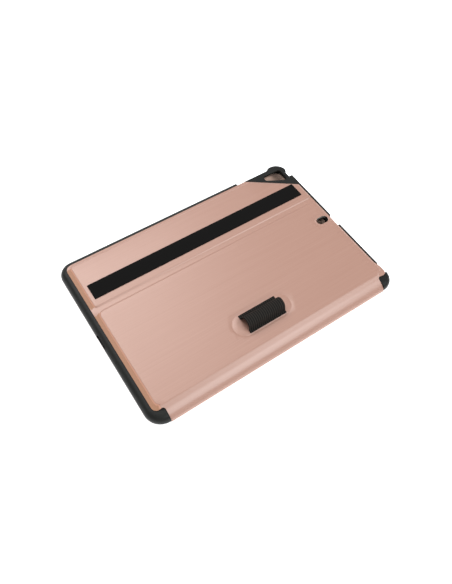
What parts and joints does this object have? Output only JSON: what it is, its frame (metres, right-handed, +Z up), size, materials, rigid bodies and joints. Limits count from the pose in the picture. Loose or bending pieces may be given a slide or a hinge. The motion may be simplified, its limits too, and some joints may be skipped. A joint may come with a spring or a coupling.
{
  "type": "folio tablet case",
  "caption": "Slim folio case for a tablet: rubbery bumper tray, folding stand flap with strap, pen loop, spine and front cover that open on fold hinges.",
  "frame": {"origin": "centre of the closed case's footprint, on the surface that its front cover lies on", "axes": "+Z up through the back panel, +X along the long side towards the camera corner, +Y from the spine to the free edge"},
  "size_m": [0.2574, 0.1798, 0.0262],
  "materials": {
    "bumper": "satin black moulded thermoplastic polyurethane",
    "tray_plate": "fine-textured black polycarbonate",
    "tray_felt": "thin dark grey microfibre",
    "steel": "thin rolled steel",
    "magnet": "nickel-plated magnet",
    "adhesive": "pale glued film",
    "board": "dense grey binder's board",
    "pu_skin": "rose-gold polyurethane leather with a fine lengthwise brushed grain",
    "lining": "rose-tan microsuede",
    "elastic": "matte black ribbed woven elastic"
  },
  "bodies": {
    "tray": {"bumper_frame": "bumper", "back_plate": "tray_plate", "tray_lining": "tray_felt", "keeper_plates": "steel", "back_adhesive": "adhesive", "back_board": "board", "back_skin": "pu_skin", "loop_patch": "adhesive", "pen_loop": "elastic"},
    "stand_flap": {"flap_board": "board", "flap_skin": "pu_skin", "flap_lining": "lining", "flap_magnets": "magnet", "flap_strap": "elastic"},
    "spine": {"spine_skin": "pu_skin", "spine_board": "board", "spine_lining": "lining"},
    "front_cover": {"front_skin": "pu_skin", "front_board": "board", "front_lining": "lining", "cover_magnets": "magnet"}
  },
  "joints": [
    {"name": "flap_fold", "type": "hinge", "parent": "tray", "child": "stand_flap", "pos_m": [0.00045, 0.0279, 0.0146], "axis": [1, 0, 0], "range_deg": [0, 110]},
    {"name": "spine_fold", "type": "hinge", "parent": "tray", "child": "spine", "pos_m": [0.00045, -0.0764, 0.0153], "axis": [-1, 0, 0], "range_deg": [0, 40]},
    {"name": "cover_open", "type": "hinge", "parent": "spine", "child": "front_cover", "pos_m": [0.00045, -0.0873, 0.0006], "axis": [-1, 0, 0], "range_deg": [0, 200]}
  ],
  "couplings": [
    {"joint": "spine_fold", "follows": "cover_open", "ratio": 0.2}
  ]
}
